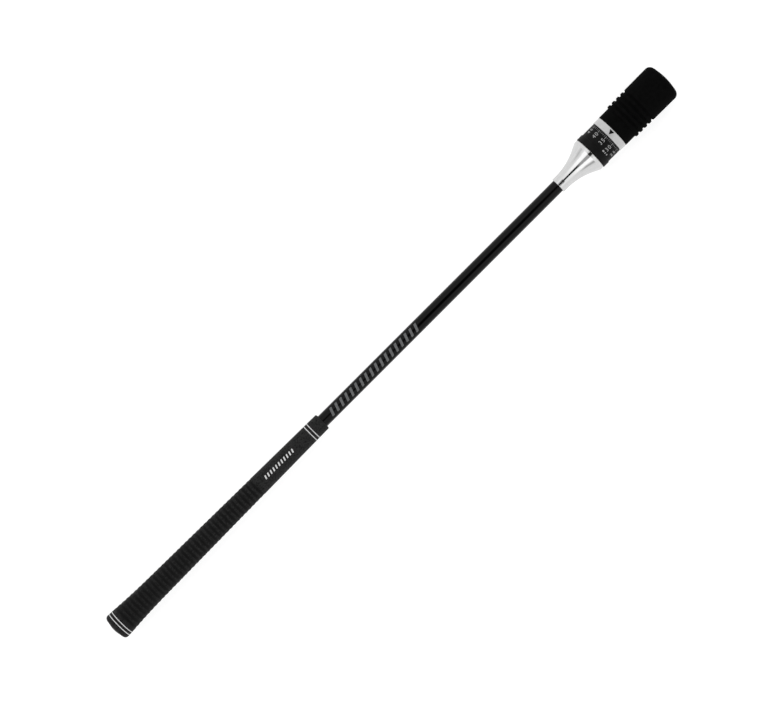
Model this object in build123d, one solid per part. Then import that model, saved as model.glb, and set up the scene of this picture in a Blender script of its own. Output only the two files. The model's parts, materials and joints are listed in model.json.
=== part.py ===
from build123d import *
import math
import os

# Swing trainer stick. Millimetres.
# The stick lies along +X, the grip's butt end at x = 0 and the head at +X. +Z is up.

# ---- Driving dimensions: stations along the stick ----
GRIP_END = 268.1
CONE_START = 571.1
CONE_END = 612.4
DIAL_END = 633.5
INDEX_END = 640.8
TIP = 709.5
FACE_GAP = 0.3

# ---- Grip ----
BUTT_WALL = 3.5
BUTT_CORNER_R = 3.4
BUTT_DOME = 1.3
BUTT_FLAT_R = 4.0
MOUTH_CORNER_R = 1.2
GRIP_MOUTH_R = 8.5
GRIP_TAPER = 0.0129
BUTT_FLARE = 1.5
BUTT_FLARE_REACH = 27.0
VENT_R = 1.6
TAPE_THICKNESS = 0.2
RIBS_START = 14.6
RIBS_END = 186.2
GRIP_RIB_PITCH = 4.9
GRIP_GROOVE_WIDTH = 3.2
GRIP_GROOVE_DEPTH = 0.2
BAND_WIDTH = 0.8
BAND_DEPTH = 0.3
BUTT_BANDS = (6.3, 9.6)
MOUTH_BANDS = (252.0, 255.5)

# ---- Shaft ----
SHAFT_R = 6.25
SHAFT_BORE_R = 5.1
SHAFT_END = 600.9

# ---- Cone ----
CONE_NECK_R = 7.65
CONE_NECK_LENGTH = 4.4
CONE_ARC_R = 62.1
CONE_SLOPE_DEG = 24.5
CONE_RIM_R = 17.1
CONE_RIM_LENGTH = 3.1
CONE_POCKET_R = 13.0
CONE_SHOULDER = 603.9
EDGE_BREAK = 0.25

# ---- Dial ring and index ring ----
DIAL_RIM_R = 17.4
DIAL_BAND_R = 16.8
DIAL_RIM_LENGTH = 6.4
INDEX_R = 17.45
NUMBER_STEP_DEG = 30
TICKS_PER_NUMBER = 5
LOWEST_NUMBER_STEPS = 4
HIGHEST_NUMBER_STEPS = 5
TICK_WIDTH = 0.35
LONG_TICK = 3.0
SHORT_TICK = 1.9
TICK_DEPTH = 0.15
TICK_EDGE = 0.8
TRIANGLE_BASE = 4.7
TRIANGLE_HEIGHT = 4.3
TRIANGLE_EDGE = 1.1
MARK_DEPTH = 0.2

# ---- Head cover ----
COLLAR_R = 17.45
COVER_R = 18.9
COVER_END_R = 19.1
COVER_GROOVE_R = 17.5
COVER_RIBS_START = 653.0
COVER_RIB_PITCH = 5.45
COVER_RIB_WIDTH = 3.6
COVER_RIB_COUNT = 4
COVER_RIB_CORNER = 0.6
COVER_CORNER_R = 5.5
COVER_DOME = 1.6
SLEEVE_R = 15.9
SLEEVE_WALL = 2.0
SLEEVE_END = 700.9
SLEEVE_CAP = 3.0

# ---- Adaptor between shaft and head ----
SPIGOT_START = 573.9
FLANGE_LENGTH = 5.5
BOSS_END = 618.9
PIN_R = 1.5
PIN_X = 588.9
CONE_SCREW_COUNT = 3
CONE_SCREW_CIRCLE_R = 9.3
CONE_SCREW_R = 1.0
CONE_SCREW_HEAD_R = 1.9
CONE_SCREW_HEAD = 2.0
CONE_SCREW_DEPTH = 4.0
WASHER_R = 16.2

# ---- Guide tube ----
TUBE_R = 12.0
TUBE_BORE_R = 10.0
TUBE_END = 692.9
RUNNING_GAP = 0.05

# ---- Dial ring's inside ----
LAND_END = 618.9
THREAD_R = 14.9
THREAD_LEAD = 4.5
SPIGOT_LENGTH = 1.2
SPIGOT_GAP = 0.08

# ---- Detent and stop ----
DETENT_TURN = 180
BALL_R = 1.25
BALL_X = 614.7
DETENT_FLOOR = 3.0
DETENT_SPRING_R = 0.85
DETENT_SPRING_TURNS = 5
DETENT_WIRE_R = 0.2
FLUTE_R = 0.7
FLUTE_DEPTH = 0.4
FLUTE_END = 616.0
STOP_TURN = 180
STOP_X = 617.3
STOP_PIN_R = 0.9
STOP_PIN_FOOT = 7.0
STOP_PIN_TOP = 14.0
STOP_GROOVE_R = 14.3
STOP_GROOVE_WIDTH = 2.1
STOP_CLEARANCE_DEG = 1.0

# ---- Index ring's key and clip ----
KEY_TURN = 180
KEY_X = 637.9
KEY_LENGTH = 5.0
KEY_WIDTH = 2.0
CLIP_WIDTH = 1.2
CLIP_GROOVE_R = 11.4
CLIP_R = 13.6
CLIP_GAP = 5.0

# ---- Magnet carrier ----
CARRIER_START = 622.9
CARRIER_LENGTH = 6.0
LUG_WIDTH = 5.8
SLOT_WIDTH = 6.0
SLOT_SPARE = 0.3
MAGNET_R = 7.0
MAGNET_START = 625.4
MAGNET_END = 632.4

# ---- Striker ----
SEAT_START = 633.4
SEAT_END = 634.9
SEAT_R = 7.8
STRIKER_R = 9.75
STRIKER_LENGTH = 30.0
STRIKER_STROKE = 22.0
GUIDE_RING_R = 8.8
GUIDE_RING_WIDTH = 3.0
SPRING_POCKET_R = 7.2
SPRING_POCKET_DEPTH = 12.0
SPRING_MEAN_R = 6.2
SPRING_WIRE_R = 0.4
SPRING_TURNS = 9

# ---- End of the head ----
ANVIL_POCKET_DEPTH = 3.0
ANVIL_FLANGE = 3.0
BUMPER_THICKNESS = 2.0
SCREW_R = 2.0
SCREW_HEAD_R = 3.8
SCREW_START = 691.9

# ---- Places that follow from the dimensions ----
DIAL_START = CONE_END + FACE_GAP
DIAL_RIM_END = DIAL_START + DIAL_RIM_LENGTH
INDEX_START = DIAL_END + FACE_GAP
FLANGE_END = CONE_SHOULDER + FLANGE_LENGTH
CARRIER_END = CARRIER_START + CARRIER_LENGTH
CARRIER_BACK = THREAD_LEAD * LOWEST_NUMBER_STEPS * NUMBER_STEP_DEG / 360
CARRIER_FORWARD = THREAD_LEAD * HIGHEST_NUMBER_STEPS * NUMBER_STEP_DEG / 360
STRIKER_START = SEAT_END + RUNNING_GAP
STRIKER_END = STRIKER_START + STRIKER_LENGTH
ANVIL_FACE = STRIKER_END + STRIKER_STROKE + RUNNING_GAP
BUMPER_START = TUBE_END + ANVIL_FLANGE
SCREW_HEAD_START = SLEEVE_END - (SCREW_HEAD_R - SCREW_R)
CORE_R = SHAFT_R + TAPE_THICKNESS
SLEEVE_LANDS = ((INDEX_END, 5.0), (664.9, 3.0), (688.9, 4.0))


def rod(start, end, radius):
    """A solid cylinder along X."""
    return extrude(Plane.YZ.offset(start) * Circle(radius), end - start)


def tube(start, end, bore, radius):
    """A hollow cylinder along X."""
    return rod(start, end, radius) - rod(start, end, bore)


def radial(x, inner, outer, radius, turn_deg):
    """A cylinder that points straight out from the axis, at an angle about X measured from +Z."""
    upright = extrude(Plane.XY.offset(inner) * Circle(radius), outer - inner)
    return Rot(turn_deg, 0, 0) * Pos(x, 0, 0) * upright


def lathe(outline):
    """Turns a closed outline of (x, radius) about the X axis."""
    return revolve(make_face(outline), Axis.X)


def turned(points):
    """Turns a polygon of (x, radius) points about the X axis."""
    return lathe(Polyline(*points, close=True))


def save(node, shape):
    """Writes one node's STEP file."""
    export_step(shape, f"parts/{node}.step")


def joined(shapes):
    """Several separate solids as one node."""
    return Compound(children=list(shapes))


# ---- Grip ----
def grip_radius(x):
    """Straight taper towards the mouth, with a flare at the butt."""
    flare = BUTT_FLARE * math.exp(-((x / BUTT_FLARE_REACH) ** 2))
    return GRIP_MOUTH_R + GRIP_TAPER * (GRIP_END - x) + flare


def rib_outline():
    """The outside of the ribbed zone: narrow rings with shallow grooves between them."""
    points = []
    count = int((RIBS_END - RIBS_START) / GRIP_RIB_PITCH)
    for i in range(count):
        x = RIBS_START + i * GRIP_RIB_PITCH
        floor = grip_radius(x) - GRIP_GROOVE_DEPTH
        points.append((x, grip_radius(x)))
        points.append((x + GRIP_GROOVE_WIDTH / 4, floor))
        points.append((x + GRIP_GROOVE_WIDTH * 3 / 4, floor))
        points.append((x + GRIP_GROOVE_WIDTH, grip_radius(x + GRIP_GROOVE_WIDTH)))
    return points


def grip():
    """Rubber sleeve with a closed butt end, pierced by the vent hole."""
    corner_end = BUTT_DOME + BUTT_CORNER_R
    cap_r = grip_radius(corner_end)
    mouth = GRIP_END - MOUTH_CORNER_R
    outside = [(corner_end, cap_r)]
    for x in BUTT_BANDS:
        outside += [(x, grip_radius(x)), (x + BAND_WIDTH, grip_radius(x + BAND_WIDTH))]
    outside += rib_outline()
    outside += [(RIBS_END, grip_radius(RIBS_END)), (mouth, grip_radius(mouth))]
    corner = CenterArc((corner_end, cap_r - BUTT_CORNER_R), BUTT_CORNER_R, 90, 90)
    lip = CenterArc((mouth, grip_radius(mouth) - MOUTH_CORNER_R), MOUTH_CORNER_R, 0, 90)
    inside = [
        (GRIP_END, grip_radius(mouth) - MOUTH_CORNER_R),
        (GRIP_END, CORE_R),
        (BUTT_WALL, CORE_R),
        (BUTT_WALL, 0),
        (0, 0),
        (0, BUTT_FLAT_R),
        (BUTT_DOME, cap_r - BUTT_CORNER_R),
    ]
    outline = Curve() + [corner, Polyline(*outside), lip, Polyline(*inside)]
    body = lathe(outline) - rod(0, BUTT_WALL, VENT_R)
    return body - band_rings(BUTT_BANDS) - band_rings(MOUTH_BANDS)


def band_rings(starts):
    """Painted rings, sunk in the grip's surface and flush with it."""
    rings = []
    for x in starts:
        end = x + BAND_WIDTH
        floor = grip_radius(end) - BAND_DEPTH
        rings.append(turned([(x, floor), (x, grip_radius(x)), (end, grip_radius(end)), (end, floor)]))
    return joined(rings)


def grip_tape():
    return tube(BUTT_WALL, GRIP_END - MOUTH_CORNER_R, SHAFT_R, CORE_R)


# ---- Shaft, adaptor and cone ----
def shaft():
    return tube(BUTT_WALL, SHAFT_END, SHAFT_BORE_R, SHAFT_R) - adaptor_pin()


def adaptor_pin():
    """Cross pin, with its ends rounded to the shaft's outer radius."""
    pin = Pos(PIN_X, 0, 0) * Rot(90, 0, 0) * Cylinder(PIN_R, 3 * SHAFT_R)
    return pin & rod(PIN_X - 2 * PIN_R, PIN_X + 2 * PIN_R, SHAFT_R)


def cone_screws():
    """Cap screws through the flange into the cone, with their heads sunk in the flange."""
    screw = rod(CONE_SHOULDER - CONE_SCREW_DEPTH, FLANGE_END - CONE_SCREW_HEAD, CONE_SCREW_R)
    screw += rod(FLANGE_END - CONE_SCREW_HEAD, FLANGE_END, CONE_SCREW_HEAD_R)
    seat = Pos(0, 0, CONE_SCREW_CIRCLE_R) * screw
    step = 360 / CONE_SCREW_COUNT
    return joined(Rot(i * step, 0, 0) * seat for i in range(CONE_SCREW_COUNT))


def tip_adaptor():
    """Spigot in the shaft, flange in the cone and boss inside the guide tube."""
    body = rod(SPIGOT_START, SHAFT_END, SHAFT_BORE_R)
    body += rod(SHAFT_END, CONE_SHOULDER, SHAFT_R)
    body += rod(CONE_SHOULDER, FLANGE_END, CONE_POCKET_R)
    body += rod(FLANGE_END, BOSS_END, TUBE_BORE_R)
    return body - adaptor_pin() - cone_screws() - detent_hole() - stop_pin()


def cone_outline():
    """Neck, trumpet arc, straight flare and short rim, with a pocket for the flange."""
    slope = math.radians(CONE_SLOPE_DEG)
    neck_end = CONE_START + CONE_NECK_LENGTH
    arc_end = (
        neck_end + CONE_ARC_R * math.sin(slope),
        CONE_NECK_R + CONE_ARC_R * (1 - math.cos(slope)),
    )
    rim_start = CONE_END - CONE_RIM_LENGTH
    neck = Polyline(
        (CONE_START, SHAFT_R),
        (CONE_START, CONE_NECK_R - EDGE_BREAK),
        (CONE_START + EDGE_BREAK, CONE_NECK_R),
        (neck_end, CONE_NECK_R),
    )
    trumpet = CenterArc((neck_end, CONE_NECK_R + CONE_ARC_R), CONE_ARC_R, 270, CONE_SLOPE_DEG)
    rest = Polyline(
        arc_end,
        (rim_start, CONE_RIM_R - EDGE_BREAK / 2),
        (rim_start + EDGE_BREAK, CONE_RIM_R),
        (CONE_END - EDGE_BREAK, CONE_RIM_R),
        (CONE_END, CONE_RIM_R - EDGE_BREAK),
        (CONE_END, CONE_POCKET_R),
        (CONE_SHOULDER, CONE_POCKET_R),
        (CONE_SHOULDER, SHAFT_R),
        (CONE_START, SHAFT_R),
    )
    return Curve() + [neck, trumpet, rest]


def chrome_cone():
    return lathe(cone_outline()) - cone_screws()


def thrust_washer():
    """Flat bearing washer on the cone's rim, just clear of the dial ring."""
    return tube(CONE_END, DIAL_START - RUNNING_GAP, CONE_POCKET_R, WASHER_R)


# ---- Detent and stop, inside the dial ring's bearing land ----
def detent_hole():
    """Radial bore in the boss and the guide tube for the ball and its spring."""
    return radial(BALL_X, DETENT_FLOOR, TUBE_R, BALL_R + RUNNING_GAP, DETENT_TURN)


def detent_ball():
    """The ball at its pressed-in height, level with the guide tube's outside."""
    lift = TUBE_R - BALL_R
    return Rot(DETENT_TURN, 0, 0) * Pos(BALL_X, 0, lift) * Sphere(BALL_R)


def detent_spring():
    """Small coil spring under the ball."""
    room = TUBE_R - 2 * BALL_R - DETENT_FLOOR - 4 * DETENT_WIRE_R
    path = Helix(
        pitch=room / DETENT_SPRING_TURNS,
        height=room,
        radius=DETENT_SPRING_R,
        center=(0, 0, DETENT_FLOOR + 2 * DETENT_WIRE_R),
    )
    section = Plane(origin=path @ 0, z_dir=path % 0) * Circle(DETENT_WIRE_R)
    return Rot(DETENT_TURN, 0, 0) * Pos(BALL_X, 0, 0) * sweep(section, path=path)


def stop_pin():
    """Radial pin that reaches into the dial ring's stop groove."""
    return radial(STOP_X, STOP_PIN_FOOT, STOP_PIN_TOP, STOP_PIN_R, STOP_TURN)


def stop_groove():
    """Part-turn groove in the dial's bore. Its ends meet the stop pin at both ends of the scale."""
    pin_half_deg = math.degrees(math.asin(STOP_PIN_R / TUBE_R)) + STOP_CLEARANCE_DEG
    above = LOWEST_NUMBER_STEPS * NUMBER_STEP_DEG + pin_half_deg
    below = HIGHEST_NUMBER_STEPS * NUMBER_STEP_DEG + pin_half_deg
    depth = STOP_GROOVE_R - TUBE_BORE_R
    section = Plane.XZ * Pos(STOP_X, TUBE_BORE_R + depth / 2) * Rectangle(STOP_GROOVE_WIDTH, depth)
    groove = revolve(section, Axis.X, revolution_arc=above + below)
    return Rot(STOP_TURN - below, 0, 0) * groove


# ---- Dial ring ----
def detent_flutes():
    """One shallow flute in the bearing land for each number's place."""
    centre_r = TUBE_R + RUNNING_GAP + FLUTE_DEPTH - FLUTE_R
    flute = Pos(0, 0, centre_r) * rod(DIAL_START, FLUTE_END, FLUTE_R)
    count = 360 // NUMBER_STEP_DEG
    return [Rot(i * NUMBER_STEP_DEG, 0, 0) * flute for i in range(count)]


def dial_ring():
    """Raised rim, sunk scale band, bearing land at the cone's end and threaded chamber behind it."""
    land_r = TUBE_R + RUNNING_GAP
    body = turned(
        [
            (DIAL_START, land_r),
            (DIAL_START, DIAL_RIM_R - EDGE_BREAK),
            (DIAL_START + EDGE_BREAK, DIAL_RIM_R),
            (DIAL_RIM_END - EDGE_BREAK, DIAL_RIM_R),
            (DIAL_RIM_END, DIAL_RIM_R - EDGE_BREAK),
            (DIAL_RIM_END, DIAL_BAND_R),
            (DIAL_END - EDGE_BREAK, DIAL_BAND_R),
            (DIAL_END, DIAL_BAND_R - EDGE_BREAK),
            (DIAL_END, THREAD_R),
            (LAND_END, THREAD_R),
            (LAND_END, land_r),
        ]
    )
    body -= stop_groove()
    for flute in detent_flutes():
        body -= flute
    return body - dial_scale()


def dial_scale():
    """Graduation lines, filled flush with the band, from the lowest number to the highest."""
    ticks = []
    first = -HIGHEST_NUMBER_STEPS * TICKS_PER_NUMBER
    last = LOWEST_NUMBER_STEPS * TICKS_PER_NUMBER
    tick_step = NUMBER_STEP_DEG / TICKS_PER_NUMBER
    band = tube(DIAL_RIM_END, DIAL_END, DIAL_BAND_R - TICK_DEPTH, DIAL_BAND_R)
    for i in range(first, last + 1):
        length = LONG_TICK if i % TICKS_PER_NUMBER == 0 else SHORT_TICK
        middle = DIAL_END - TICK_EDGE - length / 2
        bar = Pos(middle, 0, DIAL_BAND_R) * Box(length, TICK_WIDTH, DIAL_BAND_R / 10)
        ticks.append(Rot(i * tick_step, 0, 0) * bar & band)
    return joined(ticks)


# ---- Index ring ----
def index_key():
    """Flat key, half in the guide tube and half in the index ring."""
    key = Pos(KEY_X, 0, TUBE_R) * Box(KEY_LENGTH, KEY_WIDTH, KEY_WIDTH)
    return Rot(KEY_TURN, 0, 0) * key


def index_ring():
    """Satin ring with a spigot that centres the open end of the dial ring."""
    spigot_r = THREAD_R - SPIGOT_GAP
    body = turned(
        [
            (INDEX_START, spigot_r),
            (INDEX_START, INDEX_R - EDGE_BREAK),
            (INDEX_START + EDGE_BREAK, INDEX_R),
            (INDEX_END, INDEX_R),
            (INDEX_END, TUBE_R),
            (INDEX_START - SPIGOT_LENGTH, TUBE_R),
            (INDEX_START - SPIGOT_LENGTH, spigot_r),
        ]
    )
    return body - index_key() - index_mark()


def index_mark():
    """Triangle that points at the number that is set."""
    base_x = INDEX_END - TRIANGLE_EDGE
    apex_x = base_x - TRIANGLE_HEIGHT
    half = TRIANGLE_BASE / 2
    outline = make_face(Polyline((base_x, -half), (apex_x, 0), (base_x, half), close=True))
    prism = extrude(Plane.XY.offset(TUBE_R) * outline, TUBE_R)
    return prism & tube(INDEX_START, INDEX_END, INDEX_R - MARK_DEPTH, INDEX_R)


# ---- Guide tube and what it carries ----
def slot_pair(start, end, width):
    """Two bars through the tube wall, on its +Y and -Y sides."""
    return Pos((start + end) / 2, 0, 0) * Box(end - start, 4 * TUBE_R, width)


def guide_tube():
    """Slotted steel tube in which the weight slides."""
    body = tube(FLANGE_END, TUBE_END, TUBE_BORE_R, TUBE_R)
    slot_start = CARRIER_START - CARRIER_BACK - SLOT_SPARE
    body -= slot_pair(slot_start, CARRIER_END + CARRIER_FORWARD + SLOT_SPARE, SLOT_WIDTH)
    body -= tube(INDEX_END, INDEX_END + CLIP_WIDTH, CLIP_GROOVE_R, TUBE_R)
    return body - index_key() - detent_hole() - stop_pin()


def retaining_ring():
    """Open snap ring in the guide tube's groove, behind the index ring."""
    ring = tube(INDEX_END, INDEX_END + CLIP_WIDTH, CLIP_GROOVE_R, CLIP_R)
    return ring - Pos(INDEX_END + CLIP_WIDTH / 2, 0, -TUBE_R) * Box(CLIP_WIDTH, CLIP_GAP, CLIP_GAP)


def seat_ring():
    return tube(SEAT_START, SEAT_END, SEAT_R, TUBE_BORE_R)


def magnet_carrier():
    """Disc in the guide tube with two lugs through its slots. The lugs' ends carry the thread."""
    disc = rod(CARRIER_START, CARRIER_END, TUBE_BORE_R - RUNNING_GAP)
    bars = slot_pair(CARRIER_START, CARRIER_END, LUG_WIDTH)
    lugs = bars & rod(CARRIER_START, CARRIER_END, THREAD_R - RUNNING_GAP)
    return disc + lugs - magnet()


def magnet():
    return rod(MAGNET_START, MAGNET_END, MAGNET_R)


# ---- Striker ----
def striker_rings():
    """Two guide rings let into the weight."""
    first = STRIKER_START + GUIDE_RING_WIDTH
    second = STRIKER_END - 2 * GUIDE_RING_WIDTH
    outer = TUBE_BORE_R - RUNNING_GAP
    return joined(tube(x, x + GUIDE_RING_WIDTH, GUIDE_RING_R, outer) for x in (first, second))


def striker():
    """Sliding weight, with a pocket for the return spring."""
    body = rod(STRIKER_START, STRIKER_END, STRIKER_R)
    body -= rod(STRIKER_END - SPRING_POCKET_DEPTH, STRIKER_END, SPRING_POCKET_R)
    return body - striker_rings()


def return_spring():
    """Coil spring from the weight's pocket to the anvil's."""
    start = STRIKER_END - SPRING_POCKET_DEPTH + SPRING_WIRE_R
    end = ANVIL_FACE + ANVIL_POCKET_DEPTH - SPRING_WIRE_R
    path = Helix(
        pitch=(end - start) / SPRING_TURNS,
        height=end - start,
        radius=SPRING_MEAN_R,
        center=(start, 0, 0),
        direction=(1, 0, 0),
    )
    section = Plane(origin=path @ 0, z_dir=path % 0) * Circle(SPRING_WIRE_R)
    return sweep(section, path=path)


# ---- End of the head ----
def anvil():
    """Struck plug, flanged over the guide tube's end and tapped for the end screw."""
    body = rod(ANVIL_FACE, TUBE_END, TUBE_BORE_R)
    body += rod(TUBE_END, TUBE_END + ANVIL_FLANGE, TUBE_R)
    body -= rod(ANVIL_FACE, ANVIL_FACE + ANVIL_POCKET_DEPTH, SPRING_POCKET_R)
    return body - end_screw()


def bumper_washer():
    return tube(BUMPER_START, BUMPER_START + BUMPER_THICKNESS, SCREW_R, TUBE_R)


def end_screw():
    """Countersunk screw, flush with the sleeve's end."""
    return turned(
        [
            (SCREW_START, 0),
            (SCREW_START, SCREW_R),
            (SCREW_HEAD_START, SCREW_R),
            (SLEEVE_END, SCREW_HEAD_R),
            (SLEEVE_END, 0),
        ]
    )


def head_sleeve():
    """Rigid shell that stands on the guide tube by three inner rings and closes over its end."""
    body = tube(INDEX_END, SLEEVE_END, SLEEVE_R - SLEEVE_WALL, SLEEVE_R)
    for start, length in SLEEVE_LANDS:
        body += tube(start, start + length, TUBE_R, SLEEVE_R - SLEEVE_WALL / 2)
    body += rod(SLEEVE_END - SLEEVE_CAP, SLEEVE_END, SLEEVE_R - SLEEVE_WALL / 2)
    body -= rod(INDEX_END, INDEX_END + CLIP_WIDTH, CLIP_R)
    return body - end_screw()


def cover_ribs():
    """Rounded ribs and the grooves between them, as (x, radius) points."""
    points = []
    for i in range(COVER_RIB_COUNT):
        x = COVER_RIBS_START + i * COVER_RIB_PITCH
        end = x + COVER_RIB_WIDTH
        points.append((x, COLLAR_R if i == 0 else COVER_GROOVE_R))
        points.append((x + COVER_RIB_CORNER / 3, COVER_R - COVER_RIB_CORNER))
        points.append((x + COVER_RIB_CORNER, COVER_R))
        points.append((end - COVER_RIB_CORNER, COVER_R))
        points.append((end - COVER_RIB_CORNER / 3, COVER_R - COVER_RIB_CORNER))
        points.append((end, COVER_GROOVE_R))
    return points


def head_cover():
    """Rubber cover: collar, ribs, long slightly flared barrel and rounded, gently domed end."""
    barrel_start = COVER_RIBS_START + COVER_RIB_COUNT * COVER_RIB_PITCH
    corner_x = TIP - COVER_DOME - COVER_CORNER_R
    face_r = COVER_END_R - COVER_CORNER_R
    side = [(INDEX_END, SLEEVE_R), (INDEX_END, COLLAR_R)]
    side += cover_ribs()
    side += [
        (barrel_start, COVER_GROOVE_R),
        (barrel_start + COVER_RIB_CORNER / 3, COVER_R - COVER_RIB_CORNER),
        (barrel_start + COVER_RIB_CORNER, COVER_R),
        (corner_x, COVER_END_R),
    ]
    corner = CenterArc((corner_x, face_r), COVER_CORNER_R, 0, 90)
    dome_r = (face_r**2 + COVER_DOME**2) / (2 * COVER_DOME)
    dome = CenterArc((TIP - dome_r, 0), dome_r, 0, math.degrees(math.asin(face_r / dome_r)))
    inside = Polyline((TIP, 0), (SLEEVE_END, 0), (SLEEVE_END, SLEEVE_R), (INDEX_END, SLEEVE_R))
    return lathe(Curve() + [Polyline(*side), corner, dome, inside])


NODES = {
    "grip": grip,
    "butt_bands": lambda: band_rings(BUTT_BANDS),
    "mouth_bands": lambda: band_rings(MOUTH_BANDS),
    "grip_tape": grip_tape,
    "shaft": shaft,
    "tip_adaptor": tip_adaptor,
    "adaptor_pin": adaptor_pin,
    "chrome_cone": chrome_cone,
    "cone_screws": cone_screws,
    "thrust_washer": thrust_washer,
    "guide_tube": guide_tube,
    "stop_pin": stop_pin,
    "detent_ball": detent_ball,
    "detent_spring": detent_spring,
    "dial_ring": dial_ring,
    "dial_scale": dial_scale,
    "index_ring": index_ring,
    "index_mark": index_mark,
    "index_key": index_key,
    "retaining_ring": retaining_ring,
    "magnet_carrier": magnet_carrier,
    "magnet": magnet,
    "seat_ring": seat_ring,
    "striker": striker,
    "striker_rings": striker_rings,
    "return_spring": return_spring,
    "anvil": anvil,
    "bumper_washer": bumper_washer,
    "end_screw": end_screw,
    "head_sleeve": head_sleeve,
    "head_cover": head_cover,
}

os.makedirs("parts", exist_ok=True)
for node, make in NODES.items():
    save(node, make())
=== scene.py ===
import json
import math

import bmesh
import bpy
from mathutils import Matrix, Vector


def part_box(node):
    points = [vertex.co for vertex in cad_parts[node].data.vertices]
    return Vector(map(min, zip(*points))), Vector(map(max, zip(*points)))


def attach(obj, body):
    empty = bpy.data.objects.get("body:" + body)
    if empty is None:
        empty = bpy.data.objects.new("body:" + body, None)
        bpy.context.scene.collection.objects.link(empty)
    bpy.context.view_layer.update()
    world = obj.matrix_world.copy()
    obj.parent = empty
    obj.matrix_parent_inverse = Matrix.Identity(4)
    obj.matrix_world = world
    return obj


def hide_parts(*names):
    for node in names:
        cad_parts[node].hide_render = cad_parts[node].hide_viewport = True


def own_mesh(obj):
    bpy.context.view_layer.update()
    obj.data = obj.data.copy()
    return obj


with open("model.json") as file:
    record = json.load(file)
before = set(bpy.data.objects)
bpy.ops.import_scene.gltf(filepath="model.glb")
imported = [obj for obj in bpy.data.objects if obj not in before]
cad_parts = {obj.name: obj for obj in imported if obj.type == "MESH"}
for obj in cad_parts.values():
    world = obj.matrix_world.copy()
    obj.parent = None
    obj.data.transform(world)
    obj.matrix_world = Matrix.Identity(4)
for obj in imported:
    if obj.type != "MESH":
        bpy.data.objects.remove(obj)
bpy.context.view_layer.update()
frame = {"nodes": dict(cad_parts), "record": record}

# Lengths in this script are in millimetres. Only the finished meshes, lights and camera are in metres.
MM = 0.001


def span(node):
    """Where a CAD node starts and ends along the stick, and its radius."""
    low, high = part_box(node)
    return low.x / MM, high.x / MM, high.y / MM


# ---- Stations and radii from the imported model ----
GRIP_END = span("grip")[1]
CONE_START, CONE_END, CONE_RIM_R = span("chrome_cone")
DIAL_START, DIAL_END, DIAL_RIM_R = span("dial_ring")
INDEX_END, INDEX_R = span("index_ring")[1:]
TIP = span("head_cover")[1]
SHAFT_START, SHAFT_END, SHAFT_R = span("shaft")
SPRING_START, SPRING_END, SPRING_OUTER_R = span("return_spring")
TUBE_R = span("guide_tube")[2]
SLEEVE_END, SLEEVE_R = span("head_sleeve")[1:]

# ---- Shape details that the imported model's boxes don't give ----
GRIP_MOUTH_R = 8.5
GRIP_TAPER = 0.0129
BUTT_FLARE = 1.5
BUTT_FLARE_REACH = 27.0
GRIP_BORE_R = 6.45
VENT_R = 1.6
BUTT_WALL = 3.5
BUTT_DOME = 1.3
BUTT_FLAT_R = 4.0
BUTT_CORNER_R = 3.4
MOUTH_CORNER_R = 1.2
RIBS_START = 14.6
RIBS_END = 186.2
RIB_PITCH = 4.9
RIB_SWELL = 0.04
PLAIN_LEAD = 2
PLAIN_STEP = 12
PLAIN_RINGS = 5
GROOVE_WIDTH = 3.2
GROOVE_DEPTH = 0.2
BAND_WIDTH = 0.8
BAND_GROOVE_DEPTH = 0.25
BAND_DEPTH = 0.24
BAND_HEIGHT = 0.03
BUTT_BANDS = (6.3, 9.6)
MOUTH_BANDS = (252.0, 255.5)
SHAFT_BORE_R = 5.1
CONE_NECK_R = 7.65
CONE_NECK_LENGTH = 4.4
CONE_ARC_R = 62.1
CONE_SLOPE = math.radians(24.5)
CONE_RIM_LENGTH = 3.1
CONE_POCKET_R = 13.0
CONE_SHOULDER = 603.9
DIAL_BAND_R = 16.8
DIAL_RIM_LENGTH = 6.4
DIAL_LAND_R = 12.05
DIAL_LAND_END = 618.9
DIAL_CHAMBER_R = 14.9
FACE_GAP = 0.3
INDEX_START = DIAL_END + FACE_GAP
SPIGOT_LENGTH = 1.2
SPIGOT_GAP = 0.08
COLLAR_R = 17.45
COVER_R = 18.9
COVER_END_R = 19.1
COVER_GROOVE_R = 17.5
COVER_RIBS_START = 653.0
COVER_RIB_PITCH = 5.45
COVER_RIB_WIDTH = 3.6
COVER_RIB_COUNT = 4
COVER_RIB_FLANK = 0.35
COVER_RIB_TOP_R = 0.75
COVER_RIB_ROOT_R = 0.25
COVER_CORNER_R = 5.5
COVER_DOME = 1.6
SPRING_WIRE_R = 0.4
SPRING_TURNS = 9

# ---- Dust on the grip, as a share of full dust, and the shade painted into its grooves ----
BUTT_DUST = 0.6
PLAIN_DUST = 0.85
FIRST_RIB_DUST = 0.38
LAST_RIB_DUST = 0.6
# A groove's floor keeps only this share of its rib's value, so the groove is painted darker as shade.
GROOVE_SHADE_SHARE = 0.14

# ---- Marks ----
# A PLACE on the dial or the silver ring is a distance back from that ring's head end. A BAR is its
# width along the stick, its length round it, its slant and its corner radius. A TURN is in degrees.
VALUE_STEP = 5
NUMBERS = range(15, 65, VALUE_STEP)
SET_NUMBER = 35
NUMBER_TURN = 30
TICKS_PER_NUMBER = 5
DIGIT_WIDTH = 2.3
DIGIT_HEIGHT = 4.0
DIGIT_PLACES = (8.9, 5.6)
TICK_PLACE = 0.8
LONG_TICK = 3.0
LONG_TICK_WIDTH = 0.36
SHORT_TICK = 1.9
SHORT_TICK_WIDTH = 0.18
TICK_CORNER_R = 0.08
UNIT_PLACE = 12.2
UNIT_BAR_WIDTH = 1.5
UNIT_BAR_LENGTHS = (2.0, 1.2, 1.2)
UNIT_CORNER_R = 0.3
UNIT_TURN = -25
UNIT_TURN_STEP = -9
ARROW_PLACE = 1.1
ARROW_HALF_WIDTH = 2.6
ARROW_LENGTH = 4.4
SHAFT_BAR = (2.6, 8.0, 0.35, 0.4)
SHAFT_BARS = 18
SHAFT_BARS_START = 280.5
SHAFT_BAR_PITCH = 6.35
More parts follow.
